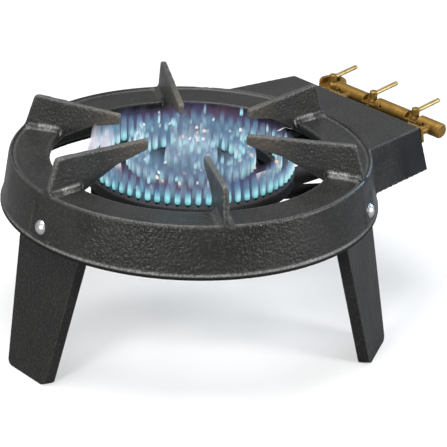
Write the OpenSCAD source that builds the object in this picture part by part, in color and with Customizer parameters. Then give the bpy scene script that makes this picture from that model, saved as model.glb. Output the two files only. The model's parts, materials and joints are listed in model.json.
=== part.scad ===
// Three-ring cast-iron propane burner stand with a brass valve manifold.
// Origin: on the floor, under the burner axis. +X runs to the valves, +Z is up.

/* [Ring] */
// Outer radius of the ring at its bottom edge
ring_r = 195; // [190:1:205]
// How far the wall leans in from its bottom edge to its top
wall_lean = 8; // [6:0.5:10]
// Height of the wall
wall_h = 54.5; // [52:0.5:60]
// Thickness of the cast walls
wall_t = 5.5; // [4.5:0.5:7]
// Radius of the opening over the burners
opening_r = 145.5; // [138:0.5:150]
// Thickness of the deck round the opening
deck_t = 9; // [8:0.5:10]
// Depth of the lip that is turned down round the opening
lip_h = 13.5; // [12:0.5:16]
// Depth of the recessed panels between the claws
panel_drop = 3; // [1:0.5:4]
// Width of the raised rim outside the panels
rim_w = 3.2; // [2:0.2:5]
// Radius of the bead on the wall's bottom edge
bead_r = 2.6; // [2:0.2:3.2]

/* [Claws] */
// Thickness of a claw
claw_t = 6.6; // [5:0.2:9]
// Height of a claw's outer corner above the deck
claw_h = 35; // [30:1:42]
// Distance of a long claw's tip from the burner axis
long_tip_r = 59.4; // [54:0.2:66]
// Distance of a short claw's tip from the burner axis
short_tip_r = 78; // [72:1:86]
// Depth of a claw at its tip
tip_h = 11.5; // [9:0.5:14]

/* [Valve box] */
// How far the box's end stands out from the ring's bottom edge, along its top
box_out = 43; // [37:1:51]
// Half the width of the box at its end, along its top
box_end_w = 98; // [94:1:104]
// Angle at which the sides draw in towards the end
box_taper = 7.9; // [5:0.1:9]
// Angle at which the sides lean out on the way down
side_lean = 10.3; // [6:0.1:12]
// Angle at which the end leans out on the way down
end_lean = 12.5; // [10:0.1:14]
// Radius of the holes that the jets pass through
jet_hole_r = 15; // [13:0.5:17]

/* [Legs] */
// Height of the ring's bottom edge above the floor
stand_h = 138; // [120:1:160]
// Width of a leg at the floor
leg_foot_w = 61; // [52:1:70]
// Width of a leg at the ring's bottom edge
leg_hip_w = 95; // [84:1:98]
// How far a leg's outer face stands out from the ring's bottom edge, at the floor
foot_out = 16.8; // [10:0.2:25]
// How far a leg's outer face stands inside the ring's bottom edge
hip_inset = 12.5; // [11:0.5:16]
// Thickness of a leg's plate
leg_t = 4; // [3:0.5:5]
// Depth of a leg's side flanges
flange_d = 12; // [10:1:16]
// Height of the leg bolts above the ring's bottom edge
bolt_h = 17.4; // [14:0.2:20]

/* [Burners] */
// Outer radius of the outer burner ring
outer_r = 108; // [104:1:112]
// Outer radius of the middle burner ring
middle_r = 68; // [64:1:72]
// Outer radius of the inner burner ring
inner_r = 28; // [26:1:31]
// Width of each burner ring, across
ring_w = 20; // [18:1:21]
// Depth of a burner's trough
trough_h = 10; // [9:0.5:13]
// Height of a burner's cap above its trough
cap_h = 6; // [5.5:0.5:8]
// Outer radius of a mixing tube where it passes under a burner ring
tube_r = 9.5; // [8.5:0.5:10.5]
// Radius of a flame port
port_r = 1.3; // [1:0.1:1.6]
// Flame ports on the outer side of the outer ring
outer_ports = 64; // [48:1:72]
// Width of the support bar
bar_w = 28; // [24:1:32]
// Thickness of the support bar
bar_t = 4; // [3:0.5:6]

/* [Manifold] */
// Distance of the rail from the box's end, along the top
rail_off = 29; // [27:0.5:32]
// Radius of the rail
rail_r = 8.5; // [8.2:0.1:9.5]
// Distance from one valve to the next
valve_pitch = 64.4; // [60:0.2:68]
// Length of the rail beyond the outer burner's valve
rail_tail = 35.6; // [32:0.2:40]
// Radius of a valve's stem
stem_r = 4.4; // [4:0.1:5]
// Height of a stem above the rail's axis
stem_h = 14.5; // [13.5:0.5:17]
// Length of a lever from its stem's axis
lever_l = 38; // [30:1:46]
// Radius of a lever
lever_r = 2.5; // [2.2:0.1:2.8]
// Angle at which a lever rises
lever_rise = 8; // [4:0.5:12]
// Radius of a jet's body
jet_r = 5; // [4.5:0.1:5.5]

/* [Hidden] */
$fn = 48;

// Finishes
iron = [0.24, 0.24, 0.23];
burner_iron = [0.20, 0.19, 0.18];
zinc = [0.72, 0.73, 0.75];
brass = [0.72, 0.57, 0.25];

// Clearances
running = 0.05; // radial gap of a turning fit
loose = 0.2; // radial gap round a bolt
air = 0.3; // gap between a moving piece and what it passes
cut = 1; // how far a cutting tool runs past a face

// Ring
ring_top_r = ring_r - wall_lean;
top_z = stand_h + wall_h;
panel_z = top_z - panel_drop;
shoulder_r = 3; // rounding of the wall's top edge
bead_in = 1; // how far the bead's axis stands inside the bottom edge
lip_t = 4.5;
rib_margin = 1.1; // a panel stops this far beside a claw
panel_round = 7;

function wall_r(z) = ring_r - wall_lean * (z - stand_h) / wall_h;

// Claws, in side view
claw_turn = 60;
claw_sink = 2; // how deep a claw's root stands in the deck
claw_lean = 12.5; // how far the outer end leans in
claw_in = 0.5; // how far that end stands inside the wall's top
claw_fall = 7.5; // drop of the top edge from the outer corner to the tip
knee_share = 0.47; // where the underside bends, from the tip to the opening
knee_h = 9; // height of that bend above the deck
heel_in = 1;
heel_drop = 11; // how far the heel reaches down the lip
tip_rounds = [3, 2.5];
knee_round = 14;
top_round = 5;
fillet_r = 9; // of the castings' fillets beside the claws
fillet_sink = 1; // how deep a fillet stands in the claw and the deck
fillet_in = 0.5; // how far from the opening a fillet starts

// Box
box_end_x = ring_r + box_out;
box_low_z = stand_h + 5;
band_z = stand_h + 19; // top of the hoop that closes the ring under the box
notch_gap = 1.7; // gap between a mixing tube and its notch in that hoop
reach = 400; // longer than any piece

function end_x(z) = box_end_x + (top_z - z) * tan(end_lean);

// Legs
leg_turns = [180, 60, -60];
foot_r = ring_r + foot_out;
hip_r = ring_r - hip_inset;
splay = atan((foot_r - hip_r) / stand_h);
leg_rise = stand_h + 38; // height of a leg's top edge
leg_flare = (leg_hip_w - leg_foot_w) / 2 / stand_h * cos(splay); // per mm along a leg
leg_round = 8;
pad_w = 32;
pad_proud = 1.2; // how far a bolt pad stands out of the wall
pad_low = stand_h + 5;
pad_high = stand_h + 42;
bolt_z = stand_h + bolt_h;
pad_d = (wall_r(bolt_z) + pad_proud - foot_r) * cos(splay) + bolt_z * sin(splay);

// Fasteners: [shank radius, across flats, nut height, head height]
m8 = [4, 13, 6.5, 4.5];
m6 = [3, 10, 5, 4];
m5 = [2.5, 8, 4, 3.5];
dome_r = 7.5; // of a leg bolt's head
washer_t = 1.6;
washer_r = 9;
spare = 1.5; // thread that stands out beyond a nut

// Support bar
bar_turn = -30;
bar_z = stand_h;
bar_top_z = bar_z + bar_t;
bar_end_r = wall_r(bar_top_z) - wall_t - 1.5;
lug_r = bar_end_r - 10.5; // place of the bar's bolts
lug_reach = 11; // how far a lug runs inwards from its bolt
lug_w = 24;
lug_h = 10;

// Burners
tube_t = 3;
riser_r = tube_r - 1; // a tube's end, under its burner
knuckle = 0.8; // a tube's bends are this much fatter than the tube
pass_gap = 0.5; // gap between a mixing tube and what it passes
pass_z = bar_top_z + pass_gap + tube_r + knuckle;
burner_z = pass_z + tube_r + pass_gap;
cap_z = burner_z + trough_h;
trough_t = 3.5;
cap_slope = 5; // width of a cap's chamfers
cap_edge = 1; // height of a cap's upright edge
cap_roof = 3; // thickness of a cap's top
skirt_h = 2;
skirt_t = 1.5;
foot_r_out = 6; // radius of a burner's feet
screw_l = 12; // length of a burner screw above the bar
middle_in = middle_r - ring_w;
outer_in = outer_r - ring_w;
inner_in = inner_r - ring_w;
outer_mid = outer_r - ring_w / 2;
middle_mid = middle_r - ring_w / 2;
inner_mid = inner_r - ring_w / 2;
port_pitch = 2 * PI * outer_r / outer_ports;
feet_at = [-outer_mid, -middle_mid, -inner_mid, middle_mid, outer_mid]; // along the bar

// Manifold
rail_x = box_end_x + rail_off;
rail_drop = 9.5; // from the deck down to the rail's axis
jet_drop = 20; // from the rail's axis down to the jets'
rail_z = top_z - rail_drop;
jet_z = rail_z - jet_drop;
stem_z = rail_z + stem_h;
saddle_gap = 0.5;
saddle_r = rail_r + saddle_gap;
saddle_z = rail_z + 2;
rail_bore_r = 3.5;
rail_bore_z = rail_z - 4;
cross_bore_r = 3; // from the inlet to the rail's bore
valve_r = 9;
valve_low_z = jet_z - 11;
port_bore_r = 2; // way from a plug to its jet
rail_end_y = -valve_pitch - rail_tail;
rail_plug_t = 4.5;
rail_plug_edge = 2;
rail_plug_l = 8; // length of its screwed tail
hub_r = 15.5;
hub_edge = 2.5;
hub_low_z = rail_z - 11;
inlet_at = [rail_x + 13, valve_pitch + 6];
inlet_low_z = jet_z - 10;
inlet_wall = 3.1;
inlet_r = 5.9;
inlet_depth = 14;
post_ys = [rail_end_y + 10, valve_pitch / 2];
post_r = 4.5;
post_z = rail_z;
post_hole = 12; // depth of a post's screw hole
post_spare = 1; // left free below its screw
post_plate = [3, 20, 18];
drilling_r = 1.8;
drilling_d = 5;
drilling_off = 18.5; // from a valve, along the rail
drilling_turn = 70; // from straight up

// Plug: tapered from the port up to the gas chamber
plug_low_r = 4.6;
plug_top_r = 5.3;
journal_r = 5.5;
seat_drop = 0.5; // from the gas chamber down to the seat
seat_z = rail_bore_z - rail_bore_r - seat_drop;
gas_bore_r = 1.6; // up the plug's axis
gas_hole_r = 1.3; // from the gas chamber into that bore
tail_r = m5[0];
stem_edge = 1;
stem_cone = 2.5; // from the journal up to the stem
spring_t = 1;
spring_rise = 1;
spring_flat = 1.5; // width of the spring washer's flat middle
spring_gap = 0.2;
spring_in = 2; // how far the spring washer's rim stands inside the valve body's
spring_z = valve_low_z - spring_gap - spring_rise - spring_t;
tail_z = spring_z - m5[2] - spare;
lever_z = stem_z - 4;
lever_grip = 2.5; // how deep a lever stands in its stem

// Mixers and shutters
mixer_x = box_end_x - 26;
mixer_t = 4;
mixer_r = 20;
spider_r = 8.5;
window_r = 15.5;
window_turn = 60;
throat_r = 11;
funnel_l = 22;
shutter_t = 1.5;
shutter_x = mixer_x + mixer_t + air;
shutter_r = 19;
tab_w = 8;
tab_l = 8;
shutter_nut_t = 4;
shutter_nut_w = 15;
throat_x = mixer_x - funnel_l;
dip_x = outer_r + tube_r / 2 + 2; // where the inner tubes reach their lowest level
boss_x = rail_x - 11; // where a jet screws into its valve
jet_hex_t = 6;
jet_hex_w = 12;
jet_tail_r = 4;
jet_tail_l = 5;
jet_nose_l = 4;
jet_drill_r = 0.6;
valve_ys = [-valve_pitch, 0, valve_pitch]; // outer, inner and middle burner

// ---------- Helpers ----------

function unit(v) = v / norm(v);

// Both tangent points and the centre of an arc of radius r in the corner p
function corner_arc(before, p, after, r) =
    let (u = unit(before - p), w = unit(after - p), half = acos(u * w) / 2)
    [p + u * r / tan(half), p + w * r / tan(half), p + unit(u + w) * r / sin(half)];

// An outline with true arcs in its corners; points run anticlockwise
module rounded_outline(points, radii) {
    n = len(points);
    arcs = [for (i = [0:n - 1])
        corner_arc(points[(i + n - 1) % n], points[i], points[(i + 1) % n], radii[i])];
    turns = [for (i = [0:n - 1])
        cross(points[i] - points[(i + n - 1) % n], points[(i + 1) % n] - points[i])];
    difference() {
        union() {
            polygon([for (i = [0:n - 1]) each radii[i] > 0 ? [arcs[i][0], arcs[i][1]] : [points[i]]]);
            for (i = [0:n - 1])
                if (radii[i] > 0 && turns[i] > 0)
                    translate(arcs[i][2]) circle(r = radii[i]);
        }
        for (i = [0:n - 1])
            if (radii[i] > 0 && turns[i] < 0)
                translate(arcs[i][2]) circle(r = radii[i]);
    }
}

// Places a piece at p, with its +Z turned towards q
module aim(p, q) {
    d = q - p;
    translate(p) rotate([0, acos(d[2] / norm(d)), atan2(d[1], d[0])]) children();
}

// A rod from p to q, with a radius at each end
module rod(p, q, r1, r2) {
    aim(p, q) cylinder(h = norm(q - p), r1 = r1, r2 = r2);
}

// A hexagon bar along +Z
module hexagon(flats, h) cylinder(h = h, r = flats / sqrt(3), $fn = 6);

module hex_nut(size) {
    difference() {
        hexagon(size[1], size[2]);
        translate([0, 0, -cut]) cylinder(h = size[2] + 2 * cut, r = size[0] + running);
    }
}

// A hexagon screw: its head under the plane z = 0, its shank above it
module hex_screw(size, length) {
    translate([0, 0, -size[3]]) hexagon(size[1], size[3]);
    cylinder(h = length, r = size[0]);
}

// A cap of a sphere, r wide and h high, on the plane z = 0
module dome(r, h) {
    ball = (r * r + h * h) / (2 * h);
    intersection() {
        translate([0, 0, h - ball]) sphere(r = ball);
        cylinder(h = h + cut, r = r);
    }
}

// Turns a piece that stands on z = 0 so that it points along +X
module along_x() rotate([0, 90, 0]) children();

// Turns a drawing's x and y to y and z, and its thickness to x
module stand_up() rotate([90, 0, 90]) children();

// Places a piece on a leg: x out of its face, z along it, from the floor up
module at_leg(turn) rotate(turn) translate([foot_r, 0, 0]) rotate([0, -splay, 0]) children();

// Places a piece on the box's end: x out of the face
module on_end(y, z) translate([end_x(z), y, z]) rotate([0, -end_lean, 0]) children();

// ---------- Body casting ----------

// Half section of the ring: drafted wall, deck, lip round the opening, bead
module ring_section() {
    lean = atan(wall_lean / wall_h);
    arc_z = top_z - shoulder_r;
    arc_r = wall_r(arc_z) - shoulder_r / cos(lean);
    rise = shoulder_r * sin(lean);
    polygon([[ring_r, stand_h], [arc_r + shoulder_r * cos(lean), arc_z + rise], [arc_r, arc_z],
        [arc_r, top_z], [opening_r, top_z], [opening_r, top_z - lip_h],
        [opening_r + lip_t, top_z - lip_h], [opening_r + lip_t, top_z - deck_t],
        [wall_r(top_z - deck_t) - wall_t, top_z - deck_t], [ring_r - wall_t, stand_h]]);
    translate([arc_r, arc_z]) circle(r = shoulder_r);
    translate([ring_r - bead_in, stand_h + bead_r]) circle(r = bead_r);
}

// Plan of one recessed panel, between the claws at 0 and at claw_turn degrees
module panel_plan() {
    edge = claw_t / 2 + rib_margin;
    r = ring_top_r - rim_w;
    centre = [sqrt(pow(r - panel_round, 2) - pow(edge + panel_round, 2)), edge + panel_round];
    corner = sqrt(r * r - edge * edge);
    difference() {
        intersection() {
            difference() {
                circle(r = r);
                circle(r = opening_r - cut);
            }
            translate([0, edge]) square(reach);
            rotate(claw_turn) mirror([0, 1]) translate([0, edge]) square(reach);
        }
        both_corners()
            polygon([centre, [centre[0], edge], [corner + cut, edge], unit(centre) * (r + cut)]);
    }
    both_corners() translate(centre) circle(r = panel_round);
}

// Repeats a corner at each end of a panel
module both_corners() {
    children();
    rotate(claw_turn) mirror([0, 1]) children();
}

// Side view of a claw: leaning outer end, sloping top, stepped underside, heel in the lip
module claw_outline(tip_r) {
    tip_z = top_z + claw_h - claw_fall;
    root_z = panel_z - claw_sink;
    knee = [tip_r + knee_share * (opening_r - tip_r), top_z + knee_h];
    heel = [opening_r + heel_in, top_z - heel_drop];
    rounded_outline(
        [[tip_r, tip_z], [tip_r, tip_z - tip_h], knee, heel, [opening_r + lip_t, root_z],
            [ring_top_r - claw_sink, root_z], [ring_top_r - claw_in, panel_z],
            [ring_top_r - claw_in - claw_lean, top_z + claw_h]],
        [tip_rounds[0], tip_rounds[1], knee_round, 0, 0, 0, 0, top_round]);
}

module claws() {
    for (i = [0:5])
        rotate(i * claw_turn)
            rotate([90, 0, 0])
                linear_extrude(claw_t, center = true)
                    claw_outline(i % 2 == 0 ? short_tip_r : long_tip_r);
}

// Fillets between the sides of the claws and the deck
module claw_fillets() {
    inner = opening_r + fillet_in;
    middle = fillet_r - fillet_sink / 2;
    for (i = [0:5], side = [0, 1])
        rotate(i * claw_turn)
            mirror([0, side, 0])
                translate([inner, claw_t / 2, panel_z])
                    stand_up() linear_extrude(ring_top_r - rim_w + fillet_sink - inner)
                        difference() {
                            translate([-fillet_sink, -fillet_sink]) square(middle + fillet_sink);
                            translate([middle, middle]) circle(r = fillet_r);
                        }
}

// A block with the box's leaning sides and end, drawn in by inset
module box_block(inset, low_z, high_z) {
    intersection() {
        translate([0, reach / 2, 0])
            rotate([90, 0, 0])
                linear_extrude(reach)
                    polygon([[0, low_z], [end_x(low_z) - inset, low_z],
                        [end_x(high_z) - inset, high_z], [0, high_z]]);
        box_side(inset);
        mirror([0, 1, 0]) box_side(inset);
    }
}

// Everything inside one leaning side of the box
module box_side(inset) {
    translate([box_end_x, box_end_w, top_z])
        rotate([side_lean, 0, -box_taper])
            translate([-reach, -reach - inset, -reach])
                cube([2 * reach, reach, 2 * reach]);
}

module box_shell() {
    difference() {
        box_block(0, box_low_z, top_z);
        box_block(wall_t, box_low_z - cut, top_z - wall_t);
        translate([0, 0, stand_h]) cylinder(h = wall_h + cut, r = ring_top_r - shoulder_r);
    }
}

// Opens the ring's wall into the box, above the hoop, with a notch for each mixing tube
module wall_gap() {
    difference() {
        box_block(wall_t, band_z, top_z - wall_t);
        translate([0, 0, stand_h])
            cylinder(h = wall_h, r = wall_r(top_z - deck_t) - wall_t);
    }
    for (y = valve_ys)
        translate([opening_r, y, jet_z])
            along_x() cylinder(h = reach, r = throat_r + knuckle + notch_gap);
}

// A flat pad for each leg: its inner face carries the leg, its outer face the bolt's head
module leg_pads() {
    for (turn = leg_turns)
        at_leg(turn)
            translate([0, -pad_w / 2, pad_low / cos(splay)])
                cube([pad_d, pad_w, (pad_high - pad_low) / cos(splay)]);
}

module bar_lugs() {
    length = wall_r(bar_top_z) - wall_t / 2 - lug_r + lug_reach;
    for (turn = [bar_turn, bar_turn + 180])
        rotate(turn)
            translate([lug_r - lug_reach, -lug_w / 2, bar_top_z]) cube([length, lug_w, lug_h]);
}

module body_casting() color(iron) {
    difference() {
        union() {
            difference() {
                rotate_extrude() ring_section();
                wall_gap();
            }
            box_shell();
            leg_pads();
            bar_lugs();
        }
        for (i = [0:5])
            translate([0, 0, panel_z]) rotate(i * claw_turn) linear_extrude(reach) panel_plan();
        for (turn = leg_turns)
            at_leg(turn)
                translate([-cut, 0, bolt_z / cos(splay)])
                    along_x() cylinder(h = pad_d + 2 * cut, r = m8[0] + loose);
        for (turn = [bar_turn, bar_turn + 180])
            rotate(turn)
                translate([lug_r, 0, bar_z]) cylinder(h = lug_h + bar_t + cut, r = m6[0] + loose);
        for (y = valve_ys)
            translate([box_end_x - wall_t, y, jet_z]) along_x() cylinder(h = reach, r = jet_hole_r);
        for (y = post_ys)
            on_end(y, post_z)
                translate([-wall_t - cut, 0, 0]) along_x() cylinder(h = reach, r = m5[0] + loose);
    }
    claws();
    claw_fillets();
}

// ---------- Legs ----------

// Face of a leg from its foot up, drawn in by inset on each side and run on below the foot by drop
module leg_face(inset, drop) {
    high = leg_rise / cos(splay);
    foot_w = leg_foot_w / 2 - inset - leg_flare * drop;
    hip_w = leg_foot_w / 2 - inset + leg_flare * high;
    r = leg_round - inset;
    rounded_outline([[-foot_w, -drop], [foot_w, -drop], [hip_w, high], [-hip_w, high]],
        [r, r, r, r]);
}

// A channel: plate outside, a flange turned in along each side, cut level at the floor
module leg(turn) color(iron) {
    difference() {
        at_leg(turn)
            difference() {
                translate([-flange_d, 0, 0]) stand_up() linear_extrude(flange_d) leg_face(0, 0);
                translate([-flange_d - cut, 0, 0])
                    stand_up() linear_extrude(flange_d - leg_t + cut) leg_face(leg_t, flange_d);
                translate([-flange_d - cut, 0, bolt_z / cos(splay)])
                    along_x() cylinder(h = flange_d + 2 * cut, r = m8[0] + loose);
            }
        translate([-reach, -reach, -reach]) cube([2 * reach, 2 * reach, reach]);
    }
}

module front_leg() leg(leg_turns[0]);
module left_leg() leg(leg_turns[1]);
module right_leg() leg(leg_turns[2]);

module leg_bolts() color(zinc) {
    length = pad_d + leg_t + washer_t + m8[2] + spare;
    for (turn = leg_turns)
        at_leg(turn)
            translate([pad_d, 0, bolt_z / cos(splay)])
                along_x() {
                    dome(dome_r, m8[3]);
                    translate([0, 0, -length]) cylinder(h = length, r = m8[0]);
                }
}

module leg_washers() color(zinc) {
    for (turn = leg_turns)
        at_leg(turn)
            translate([-leg_t - washer_t, 0, bolt_z / cos(splay)])
                along_x() difference() {
                    cylinder(h = washer_t, r = washer_r);
                    translate([0, 0, -cut]) cylinder(h = washer_t + 2 * cut, r = m8[0] + loose);
                }
}

module leg_nuts() color(zinc) {
    for (turn = leg_turns)
        at_leg(turn)
            translate([-leg_t - washer_t - m8[2], 0, bolt_z / cos(splay)]) along_x() hex_nut(m8);
}

// ---------- Support bar ----------

module support_bar() color(iron) {
    rotate(bar_turn)
        difference() {
            intersection() {
                translate([-reach, -bar_w / 2, bar_z]) cube([2 * reach, bar_w, bar_t]);
                translate([0, 0, bar_z - cut]) cylinder(h = bar_t + 2 * cut, r = bar_end_r);
            }
            for (x = [-lug_r, lug_r])
                translate([x, 0, bar_z - cut]) cylinder(h = bar_t + 2 * cut, r = m6[0] + loose);
            for (x = feet_at)
                translate([x, 0, bar_z - cut]) cylinder(h = bar_t + 2 * cut, r = m5[0] + loose);
        }
}

module bar_bolts() color(zinc) {
    for (turn = [bar_turn, bar_turn + 180])
        rotate(turn)
            translate([lug_r, 0, bar_z]) hex_screw(m6, bar_t + lug_h + m6[2] + spare);
}

module bar_nuts() color(zinc) {
    for (turn = [bar_turn, bar_turn + 180])
        rotate(turn)
            translate([lug_r, 0, bar_top_z + lug_h]) hex_nut(m6);
}

module burner_screws() color(zinc) {
    rotate(bar_turn)
        for (x = feet_at)
            translate([x, 0, bar_z]) hex_screw(m5, bar_t + screw_l);
}

// ---------- Burners ----------

// A ring of square section
module hoop(r_in, r_out, z, h) {
    rotate_extrude() translate([r_in, z]) square([r_out - r_in, h]);
}

// A mixing tube along the points of a route, its radii less inset, with a knuckle at each point
module tube(route, radii, inset) {
    last = len(route) - 1;
    for (i = [0:last - 1]) {
        rod(route[i], route[i + 1], radii[i] - inset, radii[i + 1] - inset);
        aim(route[i], route[i + 1]) sphere(r = radii[i] - inset + knuckle);
    }
    translate(route[last]) sphere(r = radii[last] - inset + knuckle);
}

// Mouth of a mixing tube: a plate with three windows round the jet's hub, and a funnel
module mixer_outside(y) {
    translate([mixer_x, y, jet_z]) along_x() {
        cylinder(h = mixer_t, r = mixer_r);
        translate([0, 0, -funnel_l]) cylinder(h = funnel_l, r1 = throat_r, r2 = mixer_r);
    }
}

module mixer_inside(y) {
    translate([mixer_x, y, jet_z]) along_x() {
        translate([0, 0, -funnel_l - cut / 2])
            cylinder(h = funnel_l + cut / 2, r1 = throat_r - tube_t, r2 = mixer_r - tube_t);
        windows(mixer_t);
        cylinder(h = mixer_t + cut, r = jet_r + running);
    }
}

// Three windows through a plate on z = 0, h thick
module windows(h) {
    for (i = [0:2])
        rotate(i * 2 * window_turn)
            translate([0, 0, -cut])
                rotate_extrude(angle = window_turn)
                    translate([spider_r, 0]) square([window_r - spider_r, h + 2 * cut]);
}

// A foot of a burner, drilled for its screw from below
module burner_foot(x, high) {
    rotate(bar_turn) translate([x, 0, bar_top_z]) cylinder(h = high - bar_top_z, r = foot_r_out);
}

module foot_holes(spots) {
    rotate(bar_turn)
        for (x = spots)
            translate([x, 0, bar_top_z - cut]) cylinder(h = screw_l + 2 * cut, r = m5[0] + running);
}

// A burner casting: a trough, its feet, and a mixing tube that ends in a mixer
module burner(r_in, r_out, spots, y, route, radii) color(burner_iron) {
    difference() {
        union() {
            hoop(r_in, r_out, burner_z, trough_h);
            tube(route, radii, 0);
            mixer_outside(y);
            for (x = spots) burner_foot(x, burner_z + trough_t / 2);
        }
        hoop(r_in + trough_t, r_out - trough_t, burner_z + trough_t, trough_h);
        tube(route, radii, tube_t);
        mixer_inside(y);
        foot_holes(spots);
    }
}

module outer_burner() {
    y = valve_ys[0];
    end = [sqrt(outer_mid * outer_mid - y * y), y, cap_z - tube_r - knuckle - pass_gap];
    burner(outer_in, outer_r, [feet_at[0], feet_at[4]], y,
        [[throat_x, y, jet_z], end], [throat_r, tube_r]);
}

module middle_burner() {
    y = valve_ys[2];
    inlet = middle_mid * [cos(-bar_turn), sin(-bar_turn)];
    burner(middle_in, middle_r, [feet_at[1], feet_at[3]], y,
        [[throat_x, y, jet_z], [dip_x, y, pass_z], [inlet[0], inlet[1], pass_z],
            [inlet[0], inlet[1], burner_z + trough_t]],
        [throat_r, tube_r, tube_r, riser_r]);
}

module inner_burner() {
    y = valve_ys[1];
    burner(inner_in, inner_r, [feet_at[2]], y,
        [[throat_x, y, jet_z], [dip_x, y, pass_z], [inner_mid, y, pass_z],
            [inner_mid, y, burner_z + trough_t]],
        [throat_r, tube_r, tube_r, riser_r]);
}

// Half section of a burner cap: chamfered top, hollow below, skirt inside the trough
module cap_section(r_in, r_out) {
    half = (r_out - r_in) / 2;
    skirt = half - trough_t - loose;
    hollow = skirt - skirt_t;
    side = [[half, 0], [half, cap_edge], [half - cap_slope, cap_h]];
    inside = [[hollow - cap_slope / 2, cap_h - cap_roof], [hollow, cap_edge], [hollow, -skirt_h],
        [skirt, -skirt_h], [skirt, 0]];
    translate([r_in + half, cap_z])
        polygon([
            for (p = side) p,
            for (i = [len(side) - 1:-1:0]) [-side[i][0], side[i][1]],
            for (i = [len(inside) - 1:-1:0]) [-inside[i][0], inside[i][1]],
            for (p = inside) p]);
}

// A row of ports round a chamfer; side is 1 on the outer chamfer and -1 on the inner one
module port_row(r, side) {
    count = floor(2 * PI * r / port_pitch);
    tilt = side * atan((cap_h - cap_edge) / cap_slope);
    for (i = [0:count - 1])
        rotate(360 * (i + 0.5) / count)
            translate([r - side * cap_slope / 2, 0, cap_z + (cap_h + cap_edge) / 2])
                rotate([0, tilt, 0]) translate([0, 0, -cap_h]) cylinder(h = 2 * cap_h, r = port_r);
}

module cap(r_in, r_out) color(burner_iron) {
    difference() {
        rotate_extrude() cap_section(r_in, r_out);
        port_row(r_out, 1);
        if (r_in > ring_w) port_row(r_in, -1);
    }
}

module outer_cap() cap(outer_in, outer_r);
module middle_cap() cap(middle_in, middle_r);
module inner_cap() cap(inner_in, inner_r);

// ---------- Jets and shutters ----------

// A jet: screwed tail, hexagon, long body that carries the mixer and shutter, drilled nose
module jet(y) color(brass) {
    body_l = boss_x - mixer_x + jet_nose_l;
    translate([boss_x, y, jet_z])
        rotate([0, -90, 0])
            difference() {
                union() {
                    translate([0, 0, -jet_tail_l]) cylinder(h = jet_tail_l + cut, r = jet_tail_r);
                    hexagon(jet_hex_w, jet_hex_t);
                    cylinder(h = body_l, r = jet_r);
                    translate([0, 0, body_l]) cylinder(h = jet_nose_l, r1 = jet_r, r2 = jet_r / 2);
                }
                translate([0, 0, -jet_tail_l - cut]) cylinder(h = jet_tail_l + body_l, r = port_bore_r);
                cylinder(h = body_l + jet_nose_l + cut, r = jet_drill_r);
            }
}

module outer_jet() jet(valve_ys[0]);
module inner_jet() jet(valve_ys[1]);
module middle_jet() jet(valve_ys[2]);

module shutter_nuts() color(brass) {
    for (y = valve_ys)
        translate([shutter_x + shutter_t + air, y, jet_z])
            along_x() difference() {
                hexagon(shutter_nut_w, shutter_nut_t);
                translate([0, 0, -cut]) cylinder(h = shutter_nut_t + 2 * cut, r = jet_r + running);
            }
}

// A disc with the mixer's windows and a tab to turn it by
module shutter(y) color(zinc) {
    translate([shutter_x, y, jet_z])
        along_x() difference() {
            union() {
                cylinder(h = shutter_t, r = shutter_r);
                translate([0, -tab_w / 2, 0]) cube([shutter_r + tab_l, tab_w, shutter_t]);
            }
            windows(shutter_t);
            translate([0, 0, -cut]) cylinder(h = shutter_t + 2 * cut, r = jet_r + running);
        }
}

module outer_shutter() shutter(valve_ys[0]);
module inner_shutter() shutter(valve_ys[1]);
module middle_shutter() shutter(valve_ys[2]);

// ---------- Manifold ----------

// A round bar across the box's end, with a body hung from it at each valve
module manifold() color(brass) {
    difference() {
        union() {
            translate([rail_x, rail_end_y, rail_z])
                rotate([-90, 0, 0]) cylinder(h = valve_pitch - rail_end_y, r = rail_r);
            hub();
            translate([inlet_at[0], inlet_at[1], inlet_low_z])
                cylinder(h = rail_z - inlet_low_z, r = inlet_r + inlet_wall);
            for (y = valve_ys) valve_body(y);
            for (y = post_ys) post(y);
        }
        for (y = valve_ys) valve_bores(y);
        translate([rail_x, rail_end_y - cut, rail_bore_z])
            rotate([-90, 0, 0])
                cylinder(h = inlet_at[1] + rail_bore_r - rail_end_y + cut, r = rail_bore_r);
        translate([rail_x, inlet_at[1], rail_bore_z])
            along_x() cylinder(h = inlet_at[0] - rail_x, r = cross_bore_r);
        translate([inlet_at[0], inlet_at[1], inlet_low_z])
            cylinder(h = rail_bore_z + rail_bore_r - inlet_low_z, r = rail_bore_r);
        translate([inlet_at[0], inlet_at[1], inlet_low_z - cut])
            cylinder(h = inlet_depth + cut, r = inlet_r);
        for (y = valve_ys)
            drilling(y) translate([0, 0, -drilling_d]) cylinder(h = reach, r = drilling_r);
        for (y = post_ys)
            on_end(y, post_z)
                translate([-cut, 0, 0]) along_x() cylinder(h = post_hole + cut, r = m5[0] + running);
    }
}

// The heavier round body at the far end of the rail, round the middle burner's valve
module hub() {
    high = rail_z + rail_r - hub_low_z;
    in = hub_r - hub_edge;
    translate([rail_x, valve_pitch, hub_low_z])
        rotate_extrude() {
            polygon([[0, 0], [in, 0], [hub_r, hub_edge], [hub_r, high - hub_edge],
                [in, high - hub_edge], [in, high], [0, high]]);
            translate([in, high - hub_edge]) circle(r = hub_edge);
        }
}

module valve_body(y) {
    translate([rail_x, y, valve_low_z]) cylinder(h = rail_z - valve_low_z, r = valve_r);
    translate([boss_x, y, jet_z]) along_x() cylinder(h = rail_x - boss_x, r = jet_tail_r + tube_t);
}

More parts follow.
